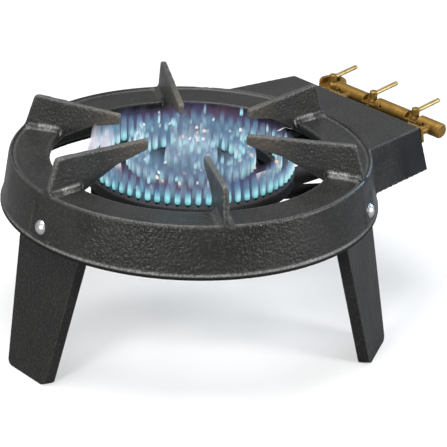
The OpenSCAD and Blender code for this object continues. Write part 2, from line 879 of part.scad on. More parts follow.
// Saddle for the stem, gas chamber, tapered seat, and the way to the jet
module valve_bores(y) {
    translate([rail_x, y, saddle_z]) cylinder(h = reach, r = saddle_r);
    translate([rail_x - reach, y - saddle_r, saddle_z]) cube([reach, 2 * saddle_r, reach]);
    translate([rail_x, y, seat_z]) cylinder(h = saddle_z - seat_z + cut, r = journal_r + running);
    translate([rail_x, y, valve_low_z])
        cylinder(h = seat_z - valve_low_z, r1 = plug_low_r + running, r2 = plug_top_r + running);
    translate([rail_x, y, valve_low_z - cut]) cylinder(h = 2 * cut, r = plug_low_r + running);
    translate([boss_x - cut, y, jet_z])
        along_x() cylinder(h = jet_tail_l + 2 * cut, r = jet_tail_r + running);
    translate([boss_x, y, jet_z]) along_x() cylinder(h = rail_x - boss_x, r = port_bore_r);
}

// A post that stands on the box's end, with a plate at its foot
module post(y) {
    foot_x = end_x(post_z) + post_plate[0];
    translate([foot_x, y, post_z]) along_x() cylinder(h = rail_x - foot_x, r = post_r);
    on_end(y, post_z) translate([0, -post_plate[1] / 2, -post_plate[2] / 2]) cube(post_plate);
}

// Places a piece on the rail's front, beside a valve: z points out of the rail
module drilling(y) {
    translate([rail_x, y - drilling_off, rail_z])
        rotate([0, -drilling_turn, 0]) translate([0, 0, rail_r]) children();
}

module drilling_plugs() color(brass) {
    for (y = valve_ys)
        drilling(y) translate([0, 0, -drilling_d]) cylinder(h = drilling_d / 2, r = drilling_r);
}

// Closes the rail's end: a rounded head and a screwed tail
module rail_plug() color(brass) {
    translate([rail_x, rail_end_y, rail_z])
        rotate([90, 0, 0]) {
            cylinder(h = rail_plug_t - rail_plug_edge, r = rail_r);
            translate([0, 0, rail_plug_t - rail_plug_edge])
                cylinder(h = rail_plug_edge, r1 = rail_r, r2 = rail_r - rail_plug_edge);
            translate([0, rail_bore_z - rail_z, -rail_plug_l])
                cylinder(h = rail_plug_l, r = rail_bore_r);
        }
}

// Screws from inside the box into the posts
module manifold_screws() color(zinc) {
    for (y = post_ys)
        on_end(y, post_z)
            translate([-wall_t, 0, 0]) along_x() hex_screw(m5, wall_t + post_hole - post_spare);
}

// ---------- Valve plugs and levers ----------

// A tapered plug with its stem, a waist in the gas chamber, and a port to the jet
module plug(y) color(brass) {
    journal_z = rail_bore_z + rail_bore_r;
    journal_l = saddle_z - journal_z + cut;
    translate([rail_x, y, 0])
        difference() {
            union() {
                translate([0, 0, tail_z]) cylinder(h = valve_low_z - tail_z + cut, r = tail_r);
                translate([0, 0, valve_low_z])
                    cylinder(h = seat_z - valve_low_z, r1 = plug_low_r, r2 = plug_top_r);
                translate([0, 0, seat_z - cut]) cylinder(h = saddle_z - seat_z, r = journal_r / 2);
                translate([0, 0, journal_z]) {
                    cylinder(h = journal_l, r = journal_r);
                    translate([0, 0, journal_l])
                        cylinder(h = stem_cone, r1 = journal_r, r2 = stem_r);
                }
                translate([0, 0, saddle_z]) cylinder(h = stem_z - saddle_z - stem_edge, r = stem_r);
                translate([0, 0, stem_z - stem_edge])
                    cylinder(h = stem_edge, r1 = stem_r, r2 = stem_r - stem_edge);
            }
            translate([0, 0, jet_z - port_bore_r])
                cylinder(h = rail_bore_z - jet_z + port_bore_r, r = gas_bore_r);
            translate([0, 0, jet_z]) rotate([0, -90, 0]) cylinder(h = reach, r = port_bore_r);
            translate([0, reach / 2, rail_bore_z])
                rotate([90, 0, 0]) cylinder(h = reach, r = gas_hole_r);
            lever_at() translate([0, 0, -lever_grip]) cylinder(h = reach, r = lever_r);
        }
}

// Places a lever on its stem: z runs along the lever
module lever_at() translate([0, 0, lever_z]) rotate([0, 90 - lever_rise, 0]) children();

module lever(y) color(brass) {
    translate([rail_x, y, 0])
        lever_at() {
            translate([0, 0, -lever_grip]) cylinder(h = lever_l - lever_r + lever_grip, r = lever_r);
            translate([0, 0, lever_l - lever_r]) sphere(r = lever_r);
        }
}

// A dished washer that draws the plug down into its seat
module spring_washer(y) color(zinc) {
    rim = valve_r - spring_in;
    flat = tail_r + spring_flat;
    translate([rail_x, y, spring_z])
        rotate_extrude()
            polygon([[tail_r + running, 0], [flat, 0], [rim, spring_rise],
                [rim, spring_rise + spring_t], [flat, spring_t], [tail_r + running, spring_t]]);
}

module plug_nut(y) color(brass) {
    translate([rail_x, y, spring_z - m5[2]]) hex_nut(m5);
}

module outer_plug() plug(valve_ys[0]);
module inner_plug() plug(valve_ys[1]);
module middle_plug() plug(valve_ys[2]);
module outer_lever() lever(valve_ys[0]);
module inner_lever() lever(valve_ys[1]);
module middle_lever() lever(valve_ys[2]);
module outer_spring_washer() spring_washer(valve_ys[0]);
module inner_spring_washer() spring_washer(valve_ys[1]);
module middle_spring_washer() spring_washer(valve_ys[2]);
module outer_plug_nut() plug_nut(valve_ys[0]);
module inner_plug_nut() plug_nut(valve_ys[1]);
module middle_plug_nut() plug_nut(valve_ys[2]);

body_casting();
front_leg();
left_leg();
right_leg();
leg_bolts();
leg_washers();
leg_nuts();
support_bar();
bar_bolts();
bar_nuts();
burner_screws();
outer_burner();
middle_burner();
inner_burner();
outer_cap();
middle_cap();
inner_cap();
outer_jet();
middle_jet();
inner_jet();
shutter_nuts();
outer_shutter();
middle_shutter();
inner_shutter();
manifold();
rail_plug();
drilling_plugs();
manifold_screws();
outer_plug();
middle_plug();
inner_plug();
outer_lever();
middle_lever();
inner_lever();
outer_spring_washer();
middle_spring_washer();
inner_spring_washer();
outer_plug_nut();
middle_plug_nut();
inner_plug_nut();
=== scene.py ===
# %% [markdown]
# # A three-ring propane burner stand
#
# A ring of grey cast iron on three splayed legs holds three burner rings, and a brass rail with three
# taps feeds them. The solids come ready made from the CAD model, so most of this lesson is about
# finishes: hammered enamel over cast iron, heat-stained burner iron, zinc and brass. Two shapes are made
# here as well: a copy of the body casting with its edges softened, and the fire, which no solid can hold.

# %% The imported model
import json
from math import radians

import bmesh
import bpy
import numpy as np
from mathutils import Matrix, Vector
from mathutils.kdtree import KDTree


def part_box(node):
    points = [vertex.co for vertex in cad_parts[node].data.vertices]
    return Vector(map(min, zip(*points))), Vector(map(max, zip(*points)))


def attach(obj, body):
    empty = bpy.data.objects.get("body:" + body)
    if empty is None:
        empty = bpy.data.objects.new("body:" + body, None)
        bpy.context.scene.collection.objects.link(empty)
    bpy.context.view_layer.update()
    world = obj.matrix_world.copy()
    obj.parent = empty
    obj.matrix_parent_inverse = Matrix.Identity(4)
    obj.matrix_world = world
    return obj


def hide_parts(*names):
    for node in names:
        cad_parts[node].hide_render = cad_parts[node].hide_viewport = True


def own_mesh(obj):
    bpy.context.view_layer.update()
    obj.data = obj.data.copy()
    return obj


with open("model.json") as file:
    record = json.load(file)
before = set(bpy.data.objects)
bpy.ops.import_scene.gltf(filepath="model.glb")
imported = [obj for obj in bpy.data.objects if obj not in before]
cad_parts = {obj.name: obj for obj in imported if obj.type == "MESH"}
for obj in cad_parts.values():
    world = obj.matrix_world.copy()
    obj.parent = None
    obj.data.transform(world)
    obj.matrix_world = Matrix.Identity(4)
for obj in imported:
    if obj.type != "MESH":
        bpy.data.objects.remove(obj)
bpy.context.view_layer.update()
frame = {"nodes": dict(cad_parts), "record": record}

NODES = frame["nodes"]

# %% [markdown]
# ## Where the rings and their ports are
#
# Everything below is placed from the frame. The three caps give the radius of each burner ring, and
# their tops give the level from which the flames rise, so the fire stays on its ports if the CAD
# model changes. The casting's own box gives the foot of its wall and the tops of its claws.

# %% Sizes read from the frame
MM = 0.001


def ring_size(label):
    """Outer radius and top level of a round piece on the burner axis, from its box."""
    low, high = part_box(label)
    return (high[0] - low[0]) / 2, high[2]


OUTER_R, CAP_TOP = ring_size("outer_cap")
MIDDLE_R, _ = ring_size("middle_cap")
INNER_R, _ = ring_size("inner_cap")
RING_W = 20 * MM          # width of a burner ring, across
PORT_IN = 3.6 * MM        # a flame stands this far inside the cap's edge
PORT_DROP = 2.5 * MM      # and starts this far below its top
PORT_PITCH = 2 * np.pi * OUTER_R / 64     # the outer cap's edge has 64 ports
LOW, TOP = (corner[2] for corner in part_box("body_casting"))
DECK_Z = TOP - 35 * MM    # the claws stand this far above the deck
print(f"rings {OUTER_R:.3f} {MIDDLE_R:.3f} {INNER_R:.3f} m, caps at {CAP_TOP:.4f} m, claws to {TOP:.4f} m")

# %% [markdown]
# ## Helpers for node graphs
#
# A material is a graph of nodes. Written out call by call it hides what it does, so a few helpers keep
# each graph readable: one adds a node and links or fills its inputs, and the others do arithmetic, map
# a range of values to another and mix colours. Each gives back an output socket, so they nest like
# plain functions.

# %% Nodes and arithmetic


def node(tree, kind, inputs=None, **settings):
    """Adds a node of a kind, sets its properties, and links or fills the named inputs."""
    made = tree.nodes.new(kind)
    for name, value in settings.items():
        setattr(made, name, value)
    for name, value in (inputs or {}).items():
        if isinstance(value, bpy.types.NodeSocket):
            tree.links.new(value, made.inputs[name])
        else:
            made.inputs[name].default_value = value
    return made


def maths(tree, operation, a, b=0.0, clamp=False):
    """One arithmetic step: a operation b."""
    return node(tree, "ShaderNodeMath", {0: a, 1: b}, operation=operation, use_clamp=clamp).outputs[0]


def product(tree, first, *others):
    """All the values multiplied together."""
    for value in others:
        first = maths(tree, "MULTIPLY", first, value)
    return first


def rest_of(tree, share):
    """What a share leaves over: 1 - share."""
    return maths(tree, "SUBTRACT", 1.0, share)


def span(tree, value, low, high, to_low=0.0, to_high=1.0):
    """Maps value from low..high to to_low..to_high, held at the ends."""
    wanted = {"Value": value, "From Min": low, "From Max": high, "To Min": to_low, "To Max": to_high}
    return node(tree, "ShaderNodeMapRange", wanted, clamp=True).outputs["Result"]


print("helpers for arithmetic: node, maths, product, rest_of, span")

# %% Colours


def as_rgba(colour):
    """Four numbers from a colour of three, or from one grey value."""
    return (*colour, 1.0) if isinstance(colour, tuple) else (colour, colour, colour, 1.0)


def mix(tree, share, a, b):
    """Colour a where share is 0, colour b where it is 1."""
    made = node(tree, "ShaderNodeMix", data_type="RGBA")
    for socket, value in zip((made.inputs[0], made.inputs[6], made.inputs[7]), (share, a, b)):
        if isinstance(value, bpy.types.NodeSocket):
            tree.links.new(value, socket)
        else:
            socket.default_value = value if socket.type == "VALUE" else as_rgba(value)
    return made.outputs[2]


def ramp(tree, value, stops):
    """A colour, or a grey value, that runs through (position, colour) stops in order."""
    made = node(tree, "ShaderNodeValToRGB", {"Fac": value})
    keys = made.color_ramp.elements
    keys[0].position, keys[1].position = stops[0][0], stops[-1][0]
    keys[0].color, keys[1].color = as_rgba(stops[0][1]), as_rgba(stops[-1][1])
    for at, colour in stops[1:-1]:
        keys.new(at).color = as_rgba(colour)
    return made.outputs["Color"]


print("helpers for colour: as_rgba, mix, ramp")

# %% Places on the piece


def place(tree):
    """The point on the piece, in metres in the shared frame, since every piece sits at its origin."""
    return node(tree, "ShaderNodeTexCoord").outputs["Object"]


def true_normal(tree):
    """The way the surface faces, before any bump."""
    return node(tree, "ShaderNodeNewGeometry").outputs["Normal"]


def split(tree, vector):
    """The X, Y and Z of a vector."""
    return node(tree, "ShaderNodeSeparateXYZ", {0: vector}).outputs


def dot(tree, vector, along):
    """How far a vector reaches along another."""
    both = {0: vector, 1: along}
    return node(tree, "ShaderNodeVectorMath", both, operation="DOT_PRODUCT").outputs["Value"]


def from_axis(tree):
    """Distance from the burner axis, measured level."""
    level = node(tree, "ShaderNodeVectorMath", {0: place(tree), 1: (1.0, 1.0, 0.0)}, operation="MULTIPLY")
    return node(tree, "ShaderNodeVectorMath", {0: level.outputs[0]}, operation="LENGTH").outputs["Value"]


def attribute(tree, name):
    """A value kept on the points of the mesh."""
    return node(tree, "ShaderNodeAttribute", attribute_name=name).outputs["Fac"]


def noise(tree, scale, detail=2.0, roughness=0.5, vector=None):
    """Cloudy noise with features about 1 / scale metres wide."""
    wanted = {"Vector": vector or place(tree), "Scale": scale, "Detail": detail, "Roughness": roughness}
    return node(tree, "ShaderNodeTexNoise", wanted).outputs["Fac"]


print("helpers for places: place, true_normal, split, dot, from_axis, attribute, noise")

# %% Groups and materials
FLOAT, COLOUR, VECTOR = "NodeSocketFloat", "NodeSocketColor", "NodeSocketVector"


def new_group(name, inputs, outputs):
    """A shader node group with named inputs and outputs, and its two end nodes."""
    group = bpy.data.node_groups.new(name, "ShaderNodeTree")
    for label, kind, value in inputs:
        group.interface.new_socket(label, in_out="INPUT", socket_type=kind).default_value = value
    for label, kind in outputs:
        group.interface.new_socket(label, in_out="OUTPUT", socket_type=kind)
    return group, group.nodes.new("NodeGroupInput").outputs, group.nodes.new("NodeGroupOutput").inputs


def use_group(tree, group, inputs):
    """Places a group in a material with its own values, and returns its outputs."""
    return node(tree, "ShaderNodeGroup", inputs, node_tree=group).outputs


def new_material(name):
    """An empty material that ends in a Principled shader; returns it, its tree and the shader."""
    made = bpy.data.materials.new(name)
    made.use_nodes = True
    return made, made.node_tree, made.node_tree.nodes["Principled BSDF"]


def told(made):
    """Prints how many nodes a group or a material has, and gives it back."""
    print(f"{made.name}: {len(getattr(made, 'node_tree', made).nodes)} nodes")
    return made


# %% [markdown]
# ## Soft and worn edges
#
# No real edge is sharp. Enamel and plating run thin over it, so it shows pale, and it catches the light.
# Bevelling thousands of CAD edges would be slow and fragile, so the Bevel node bends the normal near each
# edge instead. How far it bends is also a ready-made map of the edges, inside corners as well as outside
# edges, and a little noise breaks that map up. Where a finish paints this map pale, that is partly wear and
# partly a painted highlight. Nearly every finish uses it, so it is a node group, built once, which gives out
# a mask and a normal and leaves the shader to the material.

# %% Group: worn edges


def make_edge_group():
    """Rounded normal, and a mask that is 1 where the rounded normal leaves the true one."""
    group, given, out = new_group(
        "worn_and_highlit_edges",
        [("Radius", FLOAT, 1.5 * MM), ("Grain", FLOAT, 500.0), ("Break up", FLOAT, 0.5)],
        [("Mask", FLOAT), ("Normal", VECTOR)])
    soft = node(group, "ShaderNodeBevel", {"Radius": given["Radius"]}, samples=6).outputs["Normal"]
    # The mask takes outside edges and inside corners alike; painted pale, it is partly wear and partly a painted
    # highlight.
    wear_and_highlight = span(group, rest_of(group, dot(group, soft, true_normal(group))), 0.01, 0.16)
    patchy = span(group, noise(group, given["Grain"], 3.0), 0.35, 0.62)
    kept = rest_of(group, product(group, given["Break up"], rest_of(group, patchy)))
    group.links.new(product(group, wear_and_highlight, kept), out["Mask"])
    group.links.new(soft, out["Normal"])
    return told(group)


EDGES = make_edge_group()

# %% [markdown]
# ## Hammered enamel
#
# Hammertone paint draws itself into shallow round dimples while it dries, and its metal flakes gather
# on the rims between them. From a step away that reads as a fine pale speckle over a charcoal ground.
# A Voronoi texture gives the dimples, fine noise gives the flakes, and slow noise shifts the whole
# between lighter and darker, duller and glossier, as an uneven spray coat does.

# %% Group: hammered enamel


def make_hammer_group():
    """Colour, roughness and height of a hammered enamel.

    The height is 1.6 times the noise of the flakes, less the distance to the middle of a dimple.
    """
    group, given, out = new_group(
        "hammered_enamel",
        [("Ground", COLOUR, (0.05, 0.05, 0.048, 1)), ("Flake", COLOUR, (0.25, 0.25, 0.23, 1)),
         ("Dimples", FLOAT, 330.0), ("Flakes", FLOAT, 700.0), ("Amount", FLOAT, 0.5)],
        [("Colour", COLOUR), ("Roughness", FLOAT), ("Height", FLOAT)])
    cells = node(group, "ShaderNodeTexVoronoi", {"Vector": place(group), "Scale": given["Dimples"]},
                 feature="SMOOTH_F1").outputs["Distance"]
    peel = noise(group, given["Flakes"])
    flakes = span(group, peel, 0.5, 0.72)
    slow = span(group, noise(group, 22.0, 3.0), 0.35, 0.65, 0.8, 1.2)
    ground = node(group, "ShaderNodeVectorMath", {0: given["Ground"], "Scale": slow}, operation="SCALE")
    colour = mix(group, product(group, flakes, given["Amount"]), ground.outputs[0], given["Flake"])
    group.links.new(colour, out["Colour"])
    group.links.new(span(group, slow, 0.8, 1.2, 0.30, 0.46), out["Roughness"])
    group.links.new(maths(group, "SUBTRACT", product(group, peel, 1.6), cells), out["Height"])
    return told(group)


HAMMER = make_hammer_group()

# %% [markdown]
# ## Heat
#
# Near the flames the enamel goes brown. The heat comes from the burner axis, so a mask that depends only
# on the level distance from the axis is enough, with some noise because scorching is never even.

# %% Group: heat from the burners


def make_heat_group():
    """A mask that is 1 at the burner axis and falls to 0 between Near and Far, measured level."""
    group, given, out = new_group(
        "burner_heat", [("Near", FLOAT, 0.06), ("Far", FLOAT, 0.15)], [("Mask", FLOAT)])
    hot = span(group, from_axis(group), given["Far"], given["Near"])
    patchy = span(group, noise(group, 45.0, 4.0), 0.3, 0.7, 0.6, 1.0)
    group.links.new(product(group, hot, patchy), out["Mask"])
    return told(group)


HEAT = make_heat_group()

# %% [markdown]
# ## Enamel on plate
#
# The legs and the bar under the burners are cut from plate and get the same kind of coat as the casting,
# darker and with smaller dimples. Two helpers hold what both have in common: enamel() starts a material with its
# coat, and lay() links what became of the coat to the shader. Between the two, each finish adds its own
# marks. Here that is a pale edge from the edge group, partly wear and partly a painted highlight.

# %% Enamelled plate


def enamel(name, ground, flake, amount, dimples, flakes, heat):
    """A new material with a coat: also its tree and shader, and the coat's colour, roughness and height.

    Heat browns it near the burners. Its dimples are shallower on level faces, where wet paint can't run.
    """
    made, tree, shader = new_material(name)
    coat = use_group(tree, HAMMER, {"Ground": (*ground, 1), "Flake": (*flake, 1), "Amount": amount,
                                    "Dimples": dimples, "Flakes": flakes})
    hot = use_group(tree, HEAT, {"Near": 0.07, "Far": 0.12})["Mask"]
    colour = mix(tree, product(tree, hot, heat), coat["Colour"], (0.125, 0.09, 0.062))
    run = span(tree, maths(tree, "ABSOLUTE", split(tree, true_normal(tree))["Z"]), 0.7, 1.0, 1.0, 0.4)
    return made, tree, shader, colour, coat["Roughness"], product(tree, coat["Height"], run)


def lay(tree, shader, colour, gloss, relief):
    """Links a coat's colour and roughness to the shader, and its relief by way of a Bump node."""
    bump = node(tree, "ShaderNodeBump", {"Strength": 0.7, "Distance": 0.7 * MM, **relief}).outputs["Normal"]
    for label, value in (("Base Color", colour), ("Roughness", gloss), ("Normal", bump)):
        tree.links.new(value, shader.inputs[label])
    shader.inputs["Specular IOR Level"].default_value = 0.3


def make_plate():
    """Dark enamel with small dimples, and pale edges in patches, partly wear and partly a painted highlight."""
    made, tree, shader, colour, gloss, height = enamel(
        "enamelled_plate", (0.011, 0.011, 0.0103), (0.10, 0.10, 0.09), 0.35, 420.0, 600.0, heat=0.0)
    edges = use_group(tree, EDGES, {"Radius": 1.6 * MM, "Grain": 420.0, "Break up": 0.75})
    # Pale edges: partly wear, partly a painted highlight.
    colour = mix(tree, product(tree, edges["Mask"], 0.75), colour, (0.10, 0.10, 0.09))
    lay(tree, shader, colour, gloss, {"Height": height, "Normal": edges["Normal"]})
    return told(made)


PLATE = make_plate()

# %% [markdown]
# ## Enamel on the casting
#
# The casting shows how it was sprayed and used, and light and shade are painted on it too. The coat is
# thick and gritty on the wall between the front and right legs and thin at the back. The claws are painted
# paler, a painted highlight. The sides of the valve box are painted nearly black, a painted shade. The fillets
# at the roots of the claws that face one side get a painted highlight, nearly white and glossier. A painted
# highlight follows the bead at the foot of the wall, and the bead's underside is painted black as shade.
# Pale outside edges are partly thin coat and partly painted highlight, most of it at the front, and inside
# corners get a painted highlight.
#
# All of these could be painted by hand on a texture, but a mask computed from place, normal and the
# two attributes "relief" and "hollow" needs no unwrapping and stays sharp from close by. The attributes
# are measured on the rounded copy further down: relief is negative on outside edges and positive in
# inside corners, and hollow is positive in the wider fillets.

# %% Masks for the casting
GRIT_SIDE = (-0.62, -0.79, 0.0)    # level, towards the wall between the front and right legs
FILLET_HIGHLIGHT_SIDE = (0.17, -0.98, 0.0)   # the fillets that face this way get the painted highlight
RIM_R = 172 * MM                   # the fillets of the claws end here, at the rim of the deck
BEAD = LOW + 4 * MM                # the wall's bead starts here


def thickness(tree, front, claw):
    """How far the dimples stand out: 0.35 times at the back, twice on the gritty side, 1.1 on the claws."""
    grit = product(tree, span(tree, front, 0.148, 0.172, 0.35, 2.0),
                   span(tree, noise(tree, 30.0), 0.4, 0.6, 0.6, 1.15))
    return maths(tree, "MAXIMUM", grit, product(tree, claw, 1.1))


def edge_wear_and_highlight(tree, front):
    """Pale outside edges, partly thin coat and partly painted highlight, scaled by front; and a painted
    highlight in tight inside corners.
    """
    relief = attribute(tree, "relief")
    outside = product(tree, span(tree, relief, -0.10, -0.45, 0.0, 0.95), front)
    return maths(tree, "MAXIMUM", outside, span(tree, relief, 0.06, 0.35))


def fillet_highlight_mask(tree):
    """Painted highlight mask: wide hollows inside the rim of the deck that face one fixed side."""
    facing = span(tree, dot(tree, true_normal(tree), FILLET_HIGHLIGHT_SIDE), 0.05, 0.35)
    inside = span(tree, from_axis(tree), RIM_R, RIM_R - 4 * MM)
    return product(tree, span(tree, attribute(tree, "hollow"), 0.15, 0.45), facing, inside)


def bead_highlight_and_shade(tree, height):
    """A painted highlight as a pale line on the bead, 3 mm high, and painted shade as the black lip under it."""
    bead_highlight = maths(tree, "MINIMUM", span(tree, height, BEAD, BEAD + 1.0 * MM),
                 span(tree, height, BEAD + 3.2 * MM, BEAD + 2.0 * MM))
    return bead_highlight, span(tree, height, BEAD + 0.6 * MM, BEAD - 0.2 * MM)


print(f"bead at {BEAD:.4f} m, deck at {DECK_Z:.4f} m, fillets within {RIM_R:.3f} m")

# %% Enamelled casting


def make_casting():
    """The coat with the casting's wear, painted highlights and painted shade: first what darkens or pales it all
    over, then the edges.
    """
    made, tree, shader, colour, gloss, height = enamel(
        "enamelled_casting", (0.019, 0.019, 0.0177), (0.10, 0.10, 0.092), 0.3, 270.0, 400.0, heat=0.7)
    at = split(tree, place(tree))
    front = dot(tree, place(tree), GRIT_SIDE)
    claw = span(tree, at["Z"], DECK_Z + 1 * MM, DECK_Z + 6 * MM)
    upright = span(tree, split(tree, true_normal(tree))["Z"], 0.7, 0.3)
    # Painted shade: upright faces beyond x = 0.19 m, the sides of the valve box, are painted nearly black.
    box_side_shade = product(tree, span(tree, at["X"], 0.19, 0.21), upright, 0.9)
    bead_highlight, lip_shade = bead_highlight_and_shade(tree, at["Z"])
    # Painted highlight: the claws, above the deck, are painted paler.
    colour = mix(tree, product(tree, claw, 0.16), colour, (0.13, 0.13, 0.125))
    colour = mix(tree, box_side_shade, colour, (0.006, 0.006, 0.007))
    # Painted shade: the bead's underside is painted black.
    colour = mix(tree, lip_shade, colour, 0.003)

    patchy = span(tree, noise(tree, 420.0, 3.0), 0.35, 0.62, 0.3, 1.0)
    # Painted highlight: edges and the bead line are paler towards the front, 0.45 times at the back.
    front_highlight = span(tree, front, 0.05, 0.13, 0.45, 1.0)
    # Painted highlights: the fillets, nearly white, and the bead line; pale edges are partly wear and partly
    # painted highlight.
    fillet_highlight = product(tree, fillet_highlight_mask(tree), patchy)
    wear_and_highlight = product(tree, edge_wear_and_highlight(tree, front_highlight), patchy)
    wear_and_highlight = maths(tree, "MAXIMUM", wear_and_highlight, fillet_highlight)
    wear_and_highlight = maths(tree, "MAXIMUM", wear_and_highlight, product(tree, bead_highlight, front_highlight, patchy))
    wear_and_highlight = product(tree, wear_and_highlight, rest_of(tree, lip_shade))
    edge_colour = mix(tree, fillet_highlight, (0.20, 0.20, 0.19), (0.44, 0.44, 0.42))
    gloss = mix(tree, lip_shade, mix(tree, fillet_highlight, gloss, 0.24), 0.8)
    lay(tree, shader, mix(tree, wear_and_highlight, colour, edge_colour), gloss,
        {"Height": product(tree, height, thickness(tree, front, claw))})
    return told(made)


CASTING = make_casting()

# %% [markdown]
# ## Bare burner iron
#
# The burner rings are never painted, because the first hour of use would burn the paint off. Their skin
# is sandy from the mould and stained brown and blue by heat. Two kinds of noise, one slow for the stains
# and one fine for the scale, give both, and the fine one is the bump as well. Under scale, iron hardly
# looks like a metal, so Metallic stays low.

# %% Burner iron


def make_burner_iron():
    """Dark scaled iron: brown and blue heat colours in patches, over a sandy casting skin."""
    made, tree, shader = new_material("burner_iron")
    skin = noise(tree, 900.0, 4.0, 0.65)
    patches = span(tree, noise(tree, 60.0, 3.0), 0.38, 0.62)
    stain = mix(tree, patches, (0.030, 0.026, 0.026), (0.035, 0.040, 0.055))
    scale = mix(tree, span(tree, skin, 0.45, 0.75), stain, (0.085, 0.070, 0.060))
    edges = use_group(tree, EDGES, {"Radius": 0.8 * MM, "Grain": 600.0, "Break up": 0.6})
    # Pale edges: partly wear, partly a painted highlight.
    tree.links.new(mix(tree, product(tree, edges["Mask"], 0.4), scale, (0.14, 0.13, 0.13)),
                   shader.inputs["Base Color"])
    bump = node(tree, "ShaderNodeBump", {"Strength": 0.4, "Distance": 0.3 * MM, "Height": skin,
                                         "Normal": edges["Normal"]})
    tree.links.new(bump.outputs["Normal"], shader.inputs["Normal"])
    tree.links.new(span(tree, skin, 0.3, 0.7, 0.75, 0.55), shader.inputs["Roughness"])
    shader.inputs["Metallic"].default_value = 0.3
    return told(made)


BURNER_IRON = make_burner_iron()

# %% [markdown]
# ## Zinc plate
#
# Bolts, nuts, washers and the air shutters are bright zinc. Plating grows in small crystals, the
# spangle, and dulls in clouds where fingers have been. A Voronoi texture gives crystals of little over a
# millimetre. They change the colour only a little, so that a bolt head still reads as one piece.

# %% Zinc-plated steel


def make_zinc():
    """Bright plating: fine spangle in the colour and a faint unevenness in the gloss."""
    made, tree, shader = new_material("zinc_plate")
    crystals = node(tree, "ShaderNodeTexVoronoi", {"Vector": place(tree), "Scale": 700.0})
    spangle = span(tree, crystals.outputs["Distance"], 0.2, 0.8)
    dull = span(tree, noise(tree, 260.0, 3.0), 0.35, 0.7)
    edges = use_group(tree, EDGES, {"Radius": 0.5 * MM, "Grain": 900.0, "Break up": 0.2})
    bright = mix(tree, spangle, (0.55, 0.56, 0.58), (0.72, 0.73, 0.75))
    tree.links.new(mix(tree, product(tree, dull, 0.35), bright, (0.36, 0.35, 0.34)),
                   shader.inputs["Base Color"])
    tree.links.new(span(tree, dull, 0.0, 1.0, 0.28, 0.5), shader.inputs["Roughness"])
    tree.links.new(edges["Normal"], shader.inputs["Normal"])
    shader.inputs["Metallic"].default_value = 0.9
    return told(made)


ZINC = make_zinc()

# %% [markdown]
# ## Brass
#
# The rail, the jets and the plugs are turned from brass bar and left to tarnish. The levers are the
# same brass, kept bright by fingers. One recipe makes both: cloudy noise chooses between a clean and a
# tarnished colour, very fine noise stands for tool marks, and the two finishes differ only in those
# colours and in how rough they are.

# %% Brass


def make_brass(name, clean, tarnished, rough):
    """Turned brass: darker tarnish in cloudy patches, pale on the edges, partly polish and partly a painted
    highlight, fine tool marks.
    """
    made, tree, shader = new_material(name)
    cloud = span(tree, noise(tree, 90.0, 4.0, 0.6), 0.35, 0.7)
    marks = noise(tree, 1400.0)
    edges = use_group(tree, EDGES, {"Radius": 0.7 * MM, "Grain": 700.0, "Break up": 0.4})
    tarnish = mix(tree, cloud, clean, tarnished)
    # Pale edges: partly polish, partly a painted highlight.
    tree.links.new(mix(tree, product(tree, edges["Mask"], 0.5), tarnish, (0.70, 0.55, 0.25)),
                   shader.inputs["Base Color"])
    tree.links.new(span(tree, maths(tree, "ADD", cloud, marks), 0.3, 1.6, rough, rough + 0.18),
                   shader.inputs["Roughness"])
    bump = node(tree, "ShaderNodeBump", {"Strength": 0.12, "Distance": 0.2 * MM, "Height": marks,
                                         "Normal": edges["Normal"]})
    tree.links.new(bump.outputs["Normal"], shader.inputs["Normal"])
    shader.inputs["Metallic"].default_value = 0.8
    return told(made)


BRASS = make_brass("brass", (0.32, 0.19, 0.04), (0.19, 0.105, 0.024), 0.42)
HANDLED = make_brass("brass_handled", (0.62, 0.48, 0.22), (0.32, 0.22, 0.08), 0.28)

# %% [markdown]
# ## Dressing the pieces
#
# Each piece of the CAD model names a slot, the stuff it is made of, so most finishes follow from the
# record. Only the plate and the levers differ from the rest of their slot, and they go by name.

# %% Finishes on the CAD pieces
FINISH = {"iron": CASTING, "burner_iron": BURNER_IRON, "zinc": ZINC, "brass": BRASS}
OF_PLATE = ("front_leg", "left_leg", "right_leg", "support_bar")

for part in frame["record"]["subparts"]:
    label = part["node"]
    finish = FINISH[part["material_slot"]]
    if label in OF_PLATE:
        finish = PLATE
    elif label.endswith("_lever"):
        finish = HANDLED
    NODES[label].data.materials.clear()
    NODES[label].data.materials.append(finish)

# %% [markdown]
# ## The casting, as sand leaves it
#
# The CAD body is exact, so every edge on it is a knife edge. A copy is rebuilt from cubes of little over
# a millimetre and then relaxed: each point moves half way to the mean of its neighbours, a few times
# over. Flat faces stay where they are, outside edges are worn round, and inside corners fill up. A Bevel
# modifier would do the same only on edges that it can sort out, and this body has thousands of short
# ones where claws, deck and wall meet.
#
# How far a point moved along its own normal is kept as the attribute "relief". A fillet that the CAD
# model already has hardly moves in so few rounds, so a second, longer relaxation is measured as
# "hollow". At the end the flat parts, which need few triangles, are thinned out.

# %% Arrays from a mesh, and a modifier as a function


def read(collection, name, width, kind=np.float32):
    """An array of one property of all the points, edges or normals of a mesh."""
    flat = np.empty(len(collection) * width, kind)
    collection.foreach_get(name, flat)
    return flat.reshape(-1, width)


def modified(name, mesh, kind, **settings):
    """A new mesh: the given one as a modifier of one kind leaves it."""
    draft = bpy.data.objects.new(name, mesh)
    bpy.context.scene.collection.objects.link(draft)
    change = draft.modifiers.new(kind.lower(), kind)
    for label, value in settings.items():
        setattr(change, label, value)
    made = bpy.data.meshes.new_from_object(draft.evaluated_get(bpy.context.evaluated_depsgraph_get()))
    bpy.data.objects.remove(draft)
    return made


def new_piece(name, mesh, finish):
    """A smooth-shaded piece in the scene, made of one mesh and one finish."""
    mesh.shade_smooth()
    mesh.materials.clear()
    mesh.materials.append(finish)
    piece = bpy.data.objects.new(name, mesh)
    bpy.context.scene.collection.objects.link(piece)
    return piece


